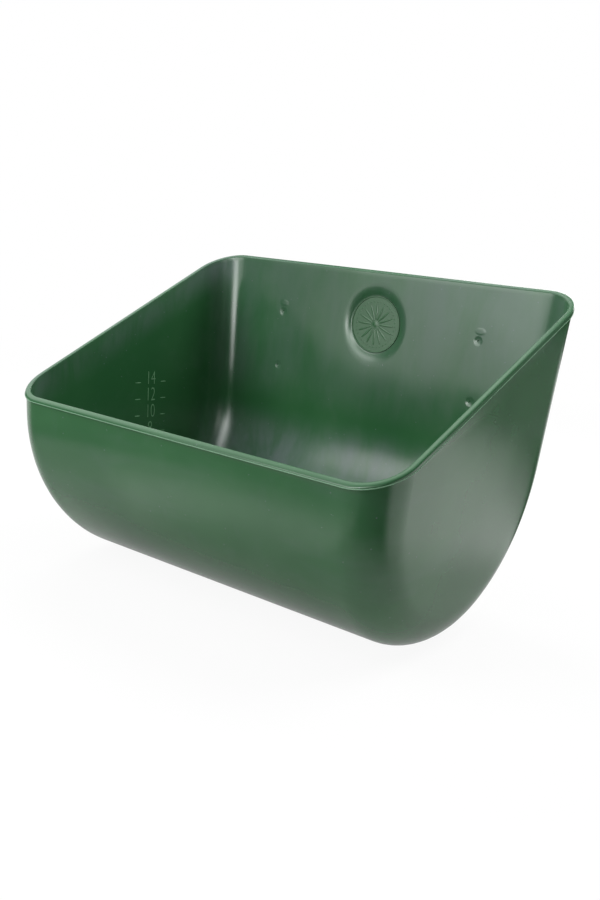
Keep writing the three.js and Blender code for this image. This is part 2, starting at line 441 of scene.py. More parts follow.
class TubShape:
    """The tub as formulas. Outlines are (y, z), measured from the top of the back wall's outer face."""

    def __init__(self, sizes):
        self.sizes = sizes
        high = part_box(TUB_NODE)[1]
        self.tan_slope = math.tan(sizes.rim_slope)
        self.cos_slope = math.cos(sizes.rim_slope)
        self.origin = Vector((0, high.y - sizes.bead_proud, high.z - sizes.bead_proud * self.tan_slope))
        self.radius = sizes.corner_radius
        self.half_core = sizes.width / 2 - sizes.corner_radius
        self.draft = math.tan(sizes.side_draft)
        self.rim_end = Vector((-self.cos_slope, -math.sin(sizes.rim_slope))) * sizes.rim_length
        self.front_normal = Vector((-math.cos(sizes.front_lean), -math.sin(sizes.front_lean)))
        self.back_end = Vector((0, -sizes.back_flat))
        self.lowest = Vector((-sizes.bottom_reach, -sizes.height))
        front_end_z = self.rim_end.y - sizes.front_flat
        self.front_end = Vector((self.lean_at(front_end_z), front_end_z))
        self.back_corner = Vector((0, self.lowest.y))
        self.front_corner = Vector((self.lean_at(self.lowest.y), self.lowest.y))

    def lean_at(self, z):
        return self.rim_end.x - (z - self.rim_end.y) * math.tan(self.sizes.front_lean)

    def rim_z(self, y, drop):
        """Height of the rim's plane, or of a plane that lies lower by drop."""
        return y * self.tan_slope - drop / self.cos_slope

    def curve_point(self, start, corner, end, share, depth):
        """A point of a curve from start to end, moved inward by depth along the curve's normal."""
        near, far = start.lerp(corner, CIRCLE_HANDLE_SHARE), end.lerp(corner, CIRCLE_HANDLE_SHARE)
        handles = (start, near, far, end)
        steps = [b - a for a, b in zip(handles, handles[1:])]
        rest = 1 - share
        point = blend(handles, (rest**3, 3 * rest**2 * share, 3 * rest * share**2, share**3))
        tangent = blend(steps, (rest**2, 2 * rest * share, share**2))
        return point - Vector((-tangent.y, tangent.x)).normalized() * depth

    def front_rim(self, depth, drop):
        """Where the front wall, moved inward by depth, meets the plane under the rim."""
        normal = self.front_normal
        reach = normal.dot(self.rim_end) - depth + drop / self.cos_slope * normal.y
        y = reach / (normal.x + self.tan_slope * normal.y)
        return Vector((y, self.rim_z(y, drop)))

    def outline(self, row, depth, drop):
        """A point of the side outline. A row is the name of a run and a share along it."""
        run, share = row
        if run == "back":
            top = Vector((-depth, self.rim_z(-depth, drop)))
            return top.lerp(Vector((-depth, self.back_end.y)), share)
        if run == "back curve":
            return self.curve_point(self.back_end, self.back_corner, self.lowest, share, depth)
        if run == "front curve":
            return self.curve_point(self.lowest, self.front_corner, self.front_end, share, depth)
        return (self.front_end - self.front_normal * depth).lerp(self.front_rim(depth, drop), share)

    def point(self, station, row, inset, drop):
        """A point of the wall that lies inward of the outer face by inset."""
        roll = self.radius - inset
        y, z = self.outline(row, self.radius - roll * math.cos(station.turn), drop)
        edge = station.side * (self.half_core + roll * math.sin(station.turn) + self.draft * z)
        return Vector((station.place + station.share * (edge - station.place), y, z)) + self.origin

    def side_x(self, side, z, inset):
        """X of a side wall at height z, measured from the top of the back wall."""
        return side * (self.sizes.width / 2 - inset + self.draft * z)

    def side_point(self, side, row, along, share, inset, drop):
        """A point of a side wall, between its rolled edge (share 0) and the rim (share 1)."""
        low = self.outline(row, self.radius, drop)
        back = Vector((-self.radius, self.rim_z(-self.radius, drop)))
        y, z = low.lerp(back.lerp(self.front_rim(self.radius, drop), along), share)
        return Vector((self.side_x(side, z, inset), y, z)) + self.origin


class Skin:
    """Collects the points and faces of one closed mesh, with masks of its inside and its rim."""

    def __init__(self):
        self.points = []
        self.faces = []
        self.masks = {"inside": [], "rim": []}

    def add(self, point, inside=0.0, rim=0.0):
        self.points.append(tuple(point))
        self.masks["inside"].append(inside)
        self.masks["rim"].append(rim)
        return len(self.points) - 1

    def face(self, *corners):
        kept = list(dict.fromkeys(corners))
        if len(kept) > 2:
            self.faces.append(kept)

    def bridge(self, first, second, closed=True):
        """Faces between two rows of as many points."""
        for i in range(len(first) if closed else len(first) - 1):
            j = (i + 1) % len(first)
            self.face(first[i], first[j], second[j], second[i])

    def mesh(self, name):
        made = plain_mesh(name, self.points, faces=self.faces)
        for mask, values in self.masks.items():
            paint(made, mask, values)
        return finished(made)


class TubSkin(Skin):
    """The whole closed surface of the tub."""

    def __init__(self, shape, dishes, disc_radius, disc_thickness):
        super().__init__()
        self.shape = shape
        self.dishes = dishes
        self.disc_radius = disc_radius
        self.disc_thickness = disc_thickness
        self.squares = [Square(0, 0, dishes.boss_radius + SQUARE_MARGIN)]
        middle = shape.origin.z - dishes.mark_drop
        for side in (-1, 1):
            for up in (1, -1):
                x = side * dishes.mark_spacing_x / 2
                z = middle + up * dishes.mark_spacing_z / 2
                self.squares.append(Square(x, z, dishes.pad_radius + SQUARE_MARGIN))
        self.stations = self.across()
        self.heights = self.down()
        self.row_names = self.rows(0, self.bead(0))
        self.along = self.shares_along()
        self.flash_line = []

    def across(self):
        """Places across the tub, from the left side wall to the right one."""
        big, mark = self.squares[0], self.squares[-1]
        last = mark.x + mark.half
        edges = (0.0, big.half, mark.x - mark.half, last)
        fixed = graded(edges, (DISH_CELLS // 2, GAP_CELLS, MARK_CELLS))
        right = [Station(1, 0, place, 0) for place in fixed]
        right += [Station(1, 0, last, share) for share in spread(0, 1, EDGE_CELLS)]
        rolled = spread(0, 1, CORNER_CELLS, closed=True)
        right += [Station(1, math.pi / 2 * share, last, 1) for share in rolled]
        left = [Station(-1, s.turn, -s.place, s.share) for s in reversed(right[1:])]
        return left + right

    def down(self):
        """Heights of the rows on the flat of the back wall, from the top down. They edge the squares."""
        big, upper, lower = self.squares[:3]
        edges = [big.half, upper.z + upper.half, upper.z - upper.half, -big.half]
        edges += [lower.z + lower.half, lower.z - lower.half, self.shape.back_end.y + self.shape.origin.z]
        return graded(edges, (ROW_CELLS, MARK_CELLS, ROW_CELLS, 1, MARK_CELLS, ROW_CELLS))

    def rows(self, inset, drop):
        """Rows down the back wall, round the bottom and up the front wall."""
        top = self.shape.rim_z(-inset, drop)
        fall = top - self.shape.back_end.y
        curve = spread(0, 1, CURVE_CELLS)
        runs = {
            "back": [0.0, *((top - (height - self.shape.origin.z)) / fall for height in self.heights)],
            "back curve": curve,
            "front curve": curve,
            "front": spread(0, 1, FRONT_CELLS, closed=True),
        }
        return [(run, share) for run, shares in runs.items() for share in shares]

    def shares_along(self):
        """How far along the rim each row of a side wall ends, as a share."""
        contour = [self.shape.outline(row, self.shape.radius, 0) for row in self.row_names]
        lengths = np.cumsum([0] + [(b - a).length for a, b in zip(contour, contour[1:])])
        return list(lengths / lengths[-1])

    def bead(self, at_front):
        """Height of the bead, lower at the front: at_front is 0 on the sides and 1 at the front."""
        sizes = self.shape.sizes
        return sizes.bead_height + (sizes.front_bead_height - sizes.bead_height) * at_front

    def front_bead(self, station):
        """Height of the bead on the front wall, which eases into the side walls."""
        return self.bead(math.sqrt(max(math.cos(station.turn), 0)))

    def bead_face(self):
        """Inset of the bead's outer face, which leaves room for its flash."""
        return -self.shape.sizes.bead_proud + self.shape.sizes.flash_proud

    def bead_section(self, height):
        """The rim's section as (inset, drop, rim mask), from the outer wall over the bead and inward."""
        face = self.bead_face()
        section = []
        for (rise, fall), mask in zip(quarter_round(ROUND_CELLS), FILLET_RUB_SHARES):
            section.append((-BEAD_FILLET * rise, height + BEAD_FILLET * fall, mask))
        section += [(face + BEAD_EDGE, height, 1), (face, height - BEAD_EDGE, 1)]
        for rise, fall in quarter_round(OUTER_ROUND_CELLS):
            section.append((face + BEAD_OUTER_ROUND * rise, BEAD_OUTER_ROUND * fall, 1))
        for (rise, fall), mask in zip(quarter_round(ROUND_CELLS), INNER_RUB_SHARES):
            section.append((self.shape.sizes.wall - BEAD_INNER_ROUND * fall, BEAD_INNER_ROUND * rise, mask))
        return section

    def rim_ring(self, height, point):
        """Adds the rim's section at one place, where point gives its points, and a point of the flash."""
        self.flash_line.append(point(self.bead_face(), height - BEAD_EDGE))
        # A rim point counts half inside: it takes half the inner haze and painted sheen, and half the outer
        # smears.
        return [self.add(point(inset, drop), 0.5, rim) for inset, drop, rim in self.bead_section(height)]

    def rim_rings(self):
        """Sections round the rim: back wall, right side, front wall, left side."""
        shape = self.shape
        first, *sides, last = self.row_names

        def wall_ring(station, row, height):
            return self.rim_ring(height, lambda inset, drop: shape.point(station, row, inset, drop))

        def side_ring(side, row, along):
            return self.rim_ring(
                self.bead(0), lambda inset, drop: shape.side_point(side, row, along, 1, inset, drop)
            )

        side_rows = list(zip(sides, self.along[1:-1]))
        rings = [wall_ring(station, first, self.bead(0)) for station in self.stations]
        rings += [side_ring(1, row, along) for row, along in side_rows]
        rings += [wall_ring(station, last, self.front_bead(station)) for station in reversed(self.stations)]
        return rings + [side_ring(-1, row, along) for row, along in reversed(side_rows)]

    def build(self):
        rings = self.rim_rings()
        for first, second in zip(rings, rings[1:] + rings[:1]):
            self.bridge(first, second, closed=False)
        for end, inset, inside in ((0, 0, 0.0), (-1, self.shape.sizes.wall, 1.0)):
            drop = self.bead_section(self.bead(0))[end][1]
            front_drops = [self.bead_section(self.front_bead(station))[end][1] for station in self.stations]
            self.wall_face([ring[end] for ring in rings], inset, drop, front_drops, inside)

    def wall_face(self, rim, inset, drop, front_drops, inside):
        """The outer or the inner face of the tub, under the points of its rim."""
        names = self.rows(inset, drop)
        count, sides = len(self.stations), len(names) - 2
        back, right = rim[:count], rim[count : count + sides]
        front, left = rim[count + sides : 2 * count + sides][::-1], rim[2 * count + sides :][::-1]
        grid = []
        for station, front_drop, top, end in zip(self.stations, front_drops, back, front):
            column = [top]
            for row in names[1:-1]:
                row_drop = drop if row[0] == "back" else front_drop
                column.append(self.add(self.shape.point(station, row, inset, row_drop), inside))
            grid.append([*column, end])

        taken = [self.square_cells(square) for square in self.squares]
        for i in range(count - 1):
            for j in range(len(names) - 1):
                if not any(i0 <= i < i1 and j0 <= j < j1 for i0, i1, j0, j1 in taken):
                    self.face(grid[i][j], grid[i + 1][j], grid[i + 1][j + 1], grid[i][j + 1])
        for square, cells in zip(self.squares, taken):
            self.fill_square(grid, square, cells, inside)
        for side, edge, side_rim in ((1, grid[-1], right), (-1, grid[0], left)):
            self.side_wall(side, edge, side_rim, names, inset, drop, inside)

    def side_wall(self, side, edge, rim, names, inset, drop, inside):
        columns = [[edge[0]] * (WALL_LAYERS + 1)]
        for j, row in enumerate(names[1:-1], 1):
            column = [edge[j]]
            for share in spread(0, 1, WALL_LAYERS)[1:]:
                point = self.shape.side_point(side, row, self.along[j], share, inset, drop)
                column.append(self.add(point, inside))
            columns.append([*column, rim[j - 1]])
        columns.append([edge[-1]] * (WALL_LAYERS + 1))
        for first, second in zip(columns, columns[1:]):
            self.bridge(first, second, closed=False)

    def square_cells(self, square):
        """The first and last lines of the grid, across and down, that edge a square."""
        i = [n for n, s in enumerate(self.stations) if s.share == 0 and square.holds(s.place, square.z)]
        j = [n for n, height in enumerate(self.heights, 1) if square.holds(square.x, height)]
        return i[0], i[-1], j[0], j[-1]

    def fill_square(self, grid, square, cells, inside):
        """Fills a square with rings: a dish or a mark on the inside, and a boss or a pad outside."""
        i0, i1, j0, j1 = cells
        edge = [grid[i][j0] for i in range(i0, i1)] + [grid[i1][j] for j in range(j0, j1)]
        edge += [grid[i][j1] for i in range(i1, i0, -1)] + [grid[i0][j] for j in range(j1, j0, -1)]
        big = square is self.squares[0]
        face = self.shape.origin.y
        if inside:
            face -= self.shape.sizes.wall
            rings = self.medallion_dish() if big else self.mark_dish()
        else:
            rings = self.boss(self.dishes.boss_radius if big else self.dishes.pad_radius)
        previous = edge
        start = math.radians(135)  # towards the upper left corner of the square, where its edge starts
        for radius, depth in rings:
            beyond = max(radius - self.disc_radius, 0) / self.disc_radius
            across = radius * (1 - self.dishes.dish_narrowing * beyond) if inside else radius
            ring = []
            for k in range(len(edge)):
                turn = start - 2 * math.pi * k / len(edge)
                x, z = square.x + across * math.cos(turn), square.z + radius * math.sin(turn)
                ring.append(self.add((x, face + depth, z), inside))
            self.bridge(previous, ring)
            previous = ring
        self.face(*previous)

    def medallion_dish(self):
        pocket = self.disc_radius + self.dishes.pocket_clearance
        depth = self.dishes.dish_depth
        rings = soft_slope(pocket + DISH_LAND, self.dishes.dish_radius, depth, steepening=True)
        rings += [(pocket + POCKET_EDGE, depth), (pocket, depth + POCKET_EDGE)]
        return [*rings, (pocket, depth + self.disc_thickness)]

    def mark_dish(self):
        depth = self.dishes.mark_depth
        pit = self.dishes.pit_radius
        bottom = depth + self.dishes.pit_depth
        land, foot, floor = [pit * share for share in PIT_SHARES]
        rings = soft_slope(land, self.dishes.mark_radius, depth)
        return [*rings, (pit, depth + PIT_EDGE), (foot, bottom - PIT_ROUND), (floor, bottom)]

    def boss(self, radius):
        """A flat round boss with a small fillet at its foot and a small round at its edge."""
        proud = self.shape.sizes.bead_proud
        small = min(BOSS_ROUND, proud / 2)
        steps = quarter_round(ROUND_CELLS)
        rings = [(radius + small * fall, small * rise) for rise, fall in steps]
        return rings + [(radius - small * rise, proud - small * fall) for rise, fall in steps]


def turned_mesh(name, profile, centre, inside):
    """A round closed mesh about an axis along Y, from (radius, y) rings; both ends are closed flat."""
    skin = Skin()
    rings = []
    for radius, y in profile:
        ring = []
        for turn in spread(0, 2 * math.pi, ROUND_SIDES):
            offset = Vector((radius * math.cos(turn), y, radius * math.sin(turn)))
            ring.append(skin.add(centre + offset, inside))
        rings.append(ring)
    for first, second in zip(rings, rings[1:]):
        skin.bridge(first, second)
    skin.face(*rings[0])
    skin.face(*rings[-1])
    return skin.mesh(name)


def litre_level(mesh, litres):
    """Height of the surface of so many litres in the tub, from the inner faces of its mesh."""
    mesh.calc_loop_triangles()
    points = np.array([v.co for v in mesh.vertices])
    inside = np.zeros(len(points), np.float32)
    mesh.attributes["inside"].data.foreach_get("value", inside)
    corners = np.array([t.vertices for t in mesh.loop_triangles])
    corners = corners[(inside[corners] > 0.9).all(axis=1)]
    a, b, c = points[corners[:, 0]], points[corners[:, 1]], points[corners[:, 2]]
    flat_area = np.cross(b - a, c - a)[:, 2] / 2
    middle = (a + b + c)[:, 2] / 3
    low, high = middle.min(), middle.max()
    halvings = 40
    for _ in range(halvings):
        level = (low + high) / 2
        volume = (flat_area * np.clip(level - middle, 0, None)).sum()
        low, high = (level, high) if volume < litres / 1000 else (low, level)
    return level


# Node trees


class Wire:
    """An output socket that takes part in sums, differences, products and quotients."""

    def __init__(self, graph, socket):
        self.graph = graph
        self.socket = socket

    def __add__(self, other):
        return self.graph.maths("ADD", self, other)

    def __radd__(self, other):
        return self.graph.maths("ADD", other, self)

    def __sub__(self, other):
        return self.graph.maths("SUBTRACT", self, other)

    def __rsub__(self, other):
        return self.graph.maths("SUBTRACT", other, self)

    def __mul__(self, other):
        return self.graph.maths("MULTIPLY", self, other)

    def __rmul__(self, other):
        return self.graph.maths("MULTIPLY", other, self)

    def __truediv__(self, other):
        return self.graph.maths("DIVIDE", self, other)

    def __rtruediv__(self, other):
        return self.graph.maths("DIVIDE", other, self)

    def highest(self, other):
        return self.graph.maths("MAXIMUM", self, other)


class Graph:
    """A node tree that is written as calls and sums."""

    def __init__(self, tree):
        self.tree = tree
        tree.nodes.clear()

    def node(self, kind, inputs=None, **settings):
        """Adds a node. Its settings are set first, then its sockets' values or links, by identifier."""
        made = self.tree.nodes.new(kind)
        for name, value in settings.items():
            setattr(made, name, value)
        sockets = {socket.identifier: socket for socket in made.inputs}
        for name, value in (inputs or {}).items():
            if isinstance(value, Wire):
                self.tree.links.new(value.socket, sockets[name])
            else:
                sockets[name].default_value = value
        return made

    def wire(self, kind, inputs=None, output=0, **settings):
        return Wire(self, self.node(kind, inputs, **settings).outputs[output])

    def maths(self, operation, first, second):
        return self.wire("ShaderNodeMath", {"Value": first, "Value_001": second}, operation=operation)

    def vector_maths(self, operation, first, second):
        inputs = {"Vector": first, "Vector_001": second}
        return self.wire("ShaderNodeVectorMath", inputs, operation=operation)

    def mix(self, factor, first, second):
        """Mixes two colours."""
        inputs = {"Factor_Float": factor, "A_Color": first, "B_Color": second}
        return self.wire("ShaderNodeMix", inputs, output=2, data_type="RGBA")

    def ramp(self, value, low, high):
        """0 below low and 1 above high, eased between them; low above high turns it round."""
        inputs = {"Value": value, "From Min": low, "From Max": high}
        return self.wire("ShaderNodeMapRange", inputs, interpolation_type="SMOOTHSTEP")

    def noise(self, vector, scale, detail, roughness=0.5, distortion=0.0):
        inputs = {"Vector": vector, "Scale": scale, "Detail": detail}
        inputs |= {"Roughness": roughness, "Distortion": distortion}
        return self.wire("ShaderNodeTexNoise", inputs)

    def stretched(self, vector, scale, turn=(0, 0, 0)):
        """The coordinates turned, then scaled along each axis."""
        turned = self.wire("ShaderNodeMapping", {"Vector": vector, "Rotation": turn})
        return self.vector_maths("MULTIPLY", turned, scale)

    def object_place(self):
        """Object coordinates."""
        return self.wire("ShaderNodeTexCoord", output=3)

    def parts(self, vector):
        """The three numbers of a vector."""
        return [Wire(self, out) for out in self.node("ShaderNodeSeparateXYZ", {"Vector": vector}).outputs]

    def joined(self, x=0.0, y=0.0, z=0.0):
        return self.wire("ShaderNodeCombineXYZ", {"X": x, "Y": y, "Z": z})

    def attribute(self, name):
        return self.wire("ShaderNodeAttribute", output=2, attribute_name=name)

    def glow(self, strength):
        return self.wire("ShaderNodeEmission", {"Color": WHITE, "Strength": strength})

    def background_rays(self):
        """1 for the rays that see the background: the camera's, glossy and transmission rays."""
        path = self.node("ShaderNodeLightPath")
        kinds = ("Is Camera Ray", "Is Glossy Ray", "Is Transmission Ray")
        camera, glossy, transmission = [Wire(self, path.outputs[kind]) for kind in kinds]
        return camera.highest(glossy).highest(transmission)


def new_material(name):
    """A new material and the graph of its emptied node tree."""
    material = bpy.data.materials.new(name)
    material.use_nodes = True
    return material, Graph(material.node_tree)


def rgba(shade):
    return (*shade, 1.0)


def scratch_mask(graph, place, turn, density, shift):
    """Thin scratches along one direction: a few short stretches of a fine stretched noise."""
    shifted = graph.vector_maths("ADD", place, (shift, shift, shift))
    fine = graph.noise(graph.stretched(shifted, (900, 900, 14), turn), 1.0, 1.0)
    stretches = graph.noise(graph.stretched(shifted, (60, 60, 9), turn), 1.0, 2.0)
    return graph.ramp(fine, 0.735, 0.78) * graph.ramp(stretches, 1 - density, 1.06 - density)


def thumb_dent(graph, x, z, middle):
    """A shallow oval dent in the back wall."""
    across = (x - middle[0]) / DENT_HALF[0]
    up = (z - middle[1]) / DENT_HALF[1]
    return graph.ramp(across * across + up * up, 1.0, 0.0)


def haze_mask(graph, place, x, y, z):
    """Haze and painted sheen on the inside: dust haze under the rim on the left, dust haze and painted
    sheen high on the right and on the back wall, and painted sheen low down.
    """
    rim_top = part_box(TUB_NODE)[1].z
    under_rim = y * math.tan(bpy.context.scene.manger_tub.rim_slope) + rim_top - z
    streaky = graph.noise(graph.stretched(place, (22, 22, 7)), 1.0, 4.0, 0.62, 0.3)
    left = graph.ramp(under_rim, 40 * MM, 4 * MM) * graph.ramp(x, -185 * MM, -197 * MM)
    # High on the right and on the back wall: dust haze and painted sheen.
    right = graph.ramp(z, -45 * MM, 25 * MM) * graph.ramp(x, -40 * MM, 130 * MM)
    back = graph.ramp(y, -35 * MM, -15 * MM) * graph.ramp(z, -115 * MM, -60 * MM)
    # Low down: painted sheen.
    low = graph.ramp(z, -100 * MM, -150 * MM) * graph.ramp(y, -60 * MM, -20 * MM)
    wide = (right * RIGHT_HAZE_AND_SHEEN + low * LOW_SHEEN + back * BACK_HAZE_AND_SHEEN) * graph.ramp(streaky, 0.15, 0.75)
    return left * LEFT_HAZE * graph.ramp(streaky, 0.25, 0.65) + wide


def plastic(name, looks, wear_and_sheen):
    """Semi-gloss moulded plastic: slight colour drift, haze and smears, painted sheen inside, scuffs, flash
    with its pale tint and painted highlight, and slow waves.
    """
    material, graph = new_material(name)
    place = graph.object_place()
    x, y, z = graph.parts(place)
    inside = graph.attribute("inside")
    rim = graph.attribute("rim")
    flash = graph.attribute("flash")
    clouds = graph.noise(place, 9.0, 3.0)
    mottle = graph.noise(place, 38.0, 3.0, 0.55, 0.5)
    waves = graph.noise(place, 13.0, 1.0)

    smeary = graph.noise(graph.stretched(place, (7, 7, 30)), 1.0, 3.0, 0.55, 0.4)
    smears = graph.ramp(smeary, 0.45, 0.75) * SMEARS
    # Inside, the mask holds dust haze and painted sheen; outside, smears.
    rubbed_haze_and_sheen = inside * haze_mask(graph, place, x, y, z) + (1 - inside) * smears
    bloom = (rubbed_haze_and_sheen + graph.ramp(mottle, 0.5, 0.8) * MOTTLE + rim * RIM_RUB) * wear_and_sheen

    scratches, *others = [scratch_mask(graph, place, *way) for way in SCRATCH_WAYS]
    for other in others:
        scratches = scratches.highest(other)
    dots = graph.wire("ShaderNodeTexVoronoi", {"Vector": place, "Scale": 95.0, "Randomness": 1.0})
    marks = (scratches * SCRATCHES + graph.ramp(dots, 0.075, 0.045) * SPECKS) * wear_and_sheen

    green = graph.mix(graph.ramp(clouds, 0.3, 0.7), rgba(looks.deep_green), rgba(looks.green))
    bloomed_and_sheened = graph.mix(bloom, green, rgba(looks.bloom))
    marked = graph.mix(marks, bloomed_and_sheened, rgba(looks.bloom))
    # Paler green on the flash: stress whitening and a painted highlight.
    final = graph.mix(flash * FLASH_TINT_AND_HIGHLIGHT, marked, rgba(looks.flash_green))
    roughness = looks.roughness + bloom * 0.2 + scratches * 0.12 + (clouds - 0.5) * 0.10 + flash * 0.15

    left_dent, right_dent = [thumb_dent(graph, x, z, middle) for middle in DENTS]
    relief = waves + mottle * 0.02 - scratches * 0.02 + (left_dent + right_dent) * inside * 0.25
    bump = graph.wire("ShaderNodeBump", {"Strength": 1.0, "Distance": WAVE_DEPTH, "Height": relief})
    inputs = {"Base Color": final, "Roughness": roughness, "Normal": bump, "IOR": 1.5}
    shader = graph.wire("ShaderNodeBsdfPrincipled", inputs)
    graph.node("ShaderNodeOutputMaterial", {"Surface": shader})
    return material


def made_by_nodes(name, carrier, build, values, material):
    """Runs a Geometry Nodes tree on a carrier mesh and returns the result as a plain mesh."""
    tree = bpy.data.node_groups.new(name, "GeometryNodeTree")
    kinds = {"Geometry": "NodeSocketGeometry"}
    for title, value in values.items():
        kinds[title] = "NodeSocketInt" if isinstance(value, int) else "NodeSocketFloat"
    kinds["Material"] = "NodeSocketMaterial"
    identifiers = {}
    for title, kind in kinds.items():
        entry = tree.interface.new_socket(title, in_out="INPUT", socket_type=kind)
        identifiers[title] = entry.identifier
    tree.interface.new_socket("Geometry", in_out="OUTPUT", socket_type="NodeSocketGeometry")
    graph = Graph(tree)
    start = graph.node("NodeGroupInput")
    sockets = {socket.name: Wire(graph, socket) for socket in start.outputs if socket.name}
    real = graph.wire("GeometryNodeRealizeInstances", {"Geometry": build(graph, sockets)})
    dressed = graph.wire("GeometryNodeSetMaterial", {"Geometry": real, "Material": sockets["Material"]})
    tree.links.new(dressed.socket, graph.node("NodeGroupOutput").inputs[0])

    holder = placed(name, carrier)
    modifier = holder.modifiers.new(name, "NODES")
    modifier.node_group = tree
    for title, value in {**values, "Material": material}.items():
        modifier[identifiers[title]] = value
    mesh = final_mesh(holder)
    mesh.name = name
    return mesh


def balls(graph, points, radius, sockets, sizes, **inputs):
    """A ball on each point, stretched along X, Y and Z by the sockets of these names."""
    ball = graph.wire("GeometryNodeMeshUVSphere", {"Segments": 16, "Rings": 8, "Radius": radius})
    stretch = graph.joined(*(sockets[size] for size in sizes))
    inputs |= {"Points": points, "Instance": ball, "Scale": stretch}
    return graph.wire("GeometryNodeInstanceOnPoints", inputs)


def tick_nodes(graph, sockets):
    """A rounded bar on each point of the carrier, lying along X."""
    return balls(graph, sockets["Geometry"], 0.5, sockets, ("Length", "Width", "Relief"))


def ring_nodes(graph, sockets):
    """Copies of a flattened ball on a circle, each turned to point outward."""
    circle = {"Vertices": sockets["Count"], "Radius": sockets["Ring radius"]}
    points = graph.wire("GeometryNodeMeshCircle", circle)
    index = graph.wire("GeometryNodeInputIndex")
    turn = graph.joined(z=index * (2 * math.pi) / sockets["Count"])
    return balls(graph, points, 1.0, sockets, ("Long", "Wide", "Relief"), Rotation=turn)


def flash_nodes(graph, sockets):
    """A thin ragged line of flash along a closed line, with stronger burrs in two places at the front."""
    plain, raggedness, burr = FLASH_SHARES
    place = graph.wire("GeometryNodeInputPosition")
    x, y, _ = graph.parts(place)
    front = graph.ramp(y, *(sockets["Front"] + reach for reach in FRONT_REACH))
    middle, right = [graph.ramp(x, a, b) * graph.ramp(x, d, c) for a, b, c, d in BURRS]
    breaks = graph.ramp(graph.noise(place, 95.0, 1.0), 0.40, 0.46)
    ragged = graph.noise(place, 620.0, 2.0)
    share = plain + ragged * raggedness + front * middle.highest(right) * breaks * burr
    line = graph.wire("GeometryNodeMeshToCurve", {"Mesh": sockets["Geometry"]})
    step = {"Curve": line, "Length": sockets["Step"]}
    fine = graph.wire("GeometryNodeResampleCurve", step, mode="LENGTH")
    thick = graph.wire("GeometryNodeSetCurveRadius", {"Curve": fine, "Radius": share})
    section = {"Resolution": 6, "Radius": sockets["Thickness"]}
    ring = graph.wire("GeometryNodeCurvePrimitiveCircle", section, mode="RADIUS")
    return graph.wire("GeometryNodeCurveToMesh", {"Curve": thick, "Profile Curve": ring})


# Operators


def on_dome(azimuth, elevation, reach):
    """The place at these angles, in degrees, from the middle of the stage."""
    turn, lift = math.radians(azimuth), math.radians(elevation)
    flat = math.cos(lift)
    return STAGE_CENTRE + reach * Vector((flat * math.cos(turn), flat * math.sin(turn), math.sin(lift)))


def between(value, low, high, edge):
    """1 from low to high and 0 outside, eased over edge at each end."""
    shares = [min(max(0.5 + gap / edge, 0), 1) for gap in (value - low, high - value)]
    return math.prod(share**2 * (3 - 2 * share) for share in shares)


def around(turn, start, end, edge):
    """The same for an azimuth in degrees; a full turn has no ends."""
    if end - start >= 360:
        return 1.0
    middle = (start + end) / 2
    return between((turn - middle + 180) % 360 - 180, start - middle, end - middle, edge)


def lit(glow, parts, edges, turn, level):
    """Brightness of the room at an azimuth and a radius or elevation, eased over the edges of its parts."""
    for start, end, low, high, strength in parts:
        glow += strength * around(turn, start, end, edges[0]) * between(level, low, high, edges[1])
    return glow


